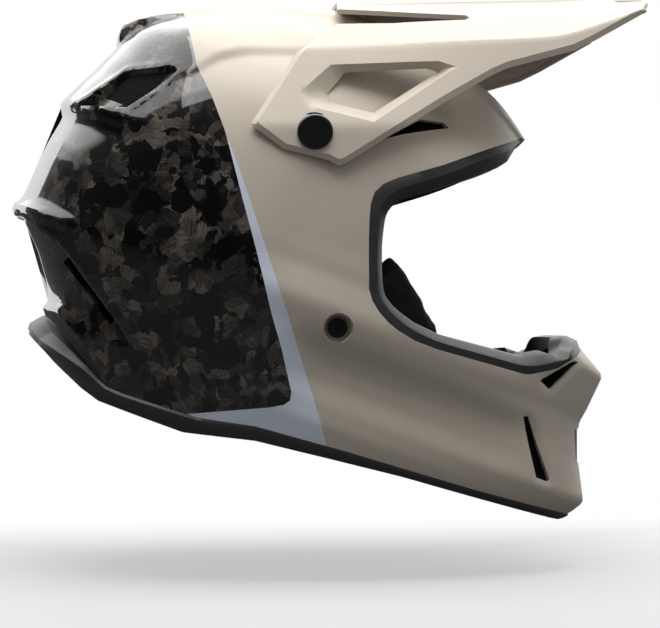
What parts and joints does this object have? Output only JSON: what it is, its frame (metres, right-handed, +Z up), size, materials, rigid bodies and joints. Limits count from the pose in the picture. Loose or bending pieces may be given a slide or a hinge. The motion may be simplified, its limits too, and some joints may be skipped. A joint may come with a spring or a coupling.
{
  "type": "downhill bike full face helmet",
  "caption": "Full face helmet with a hard skin, foam liners, soft pads, a peak that tilts on side screws, removable cheek pads and a ring-laced chin strap.",
  "frame": {"origin": "centre of the head cavity, on the plane of symmetry, level with the wearer's eyes", "axes": "+X to the front of the helmet, +Y to the wearer's left, +Z up to the crown"},
  "size_m": [0.3613, 0.2424, 0.2986],
  "materials": {
    "composite_skin": "matt sand paint in front, clear-coated chopped carbon behind",
    "trim_rubber": "satin moulded rubber",
    "liner_foam": "black expanded foam",
    "screen_black": "black moulded mesh",
    "pad_fabric": "black brushed knit over foam",
    "plate_plastic": "black plastic sheet",
    "tab_webbing": "dark red woven tape",
    "bolt_black": "black steel",
    "bolt_steel": "zinc-plated steel",
    "strap_webbing": "black woven webbing",
    "ring_steel": "polished steel",
    "visor_plastic": "matt sand moulded plastic",
    "screw_black": "black anodised cap"
  },
  "bodies": {
    "helmet": {"outer_shell": "composite_skin", "base_trim": "trim_rubber", "eyeport_trim": "trim_rubber", "impact_liner": "liner_foam", "chin_liner": "liner_foam", "brow_screens": "screen_black", "rear_screens": "screen_black", "chin_screens": "screen_black", "mouth_grille": "screen_black", "brow_pad": "pad_fabric", "crown_pad": "pad_fabric", "nape_pad": "pad_fabric", "neck_roll": "pad_fabric", "cheek_pad_right": "pad_fabric", "cheek_pad_left": "pad_fabric", "cheek_plate_right": "plate_plastic", "cheek_plate_left": "plate_plastic", "cheek_grip_patches": "plate_plastic", "cheek_tab_right": "tab_webbing", "cheek_tab_left": "tab_webbing", "strap_bolts": "bolt_black", "strap_nuts": "bolt_steel", "visor_washers": "screen_black", "visor_nuts": "bolt_steel"},
    "visor_peak": {"visor": "visor_plastic"},
    "visor_screw_right": {"visor_screw_right": "screw_black"},
    "visor_screw_left": {"visor_screw_left": "screw_black"},
    "chin_strap": {"strap_tabs": "bolt_steel", "strap_short": "strap_webbing", "strap_long": "strap_webbing", "d_rings": "ring_steel", "strap_sleeves": "pad_fabric", "strap_snap": "screen_black"}
  },
  "joints": [
    {"name": "visor_tilt", "type": "hinge", "parent": "helmet", "child": "visor_peak", "pos_m": [0.0104, 0, 0.0644], "axis": [0, -1, 0], "range_deg": [-2, 8]},
    {"name": "visor_screw_right_turn", "type": "hinge", "parent": "helmet", "child": "visor_screw_right", "pos_m": [0.0104, -0.112, 0.0644], "axis": [0, -1, 0], "continuous": true},
    {"name": "visor_screw_left_turn", "type": "hinge", "parent": "helmet", "child": "visor_screw_left", "pos_m": [0.0104, 0.112, 0.0644], "axis": [0, 1, 0], "continuous": true},
    {"name": "chin_strap_swing", "type": "hinge", "parent": "helmet", "child": "chin_strap", "pos_m": [0.0227, 0, -0.0381], "axis": [0, 1, 0], "range_deg": [-8, 8]}
  ]
}
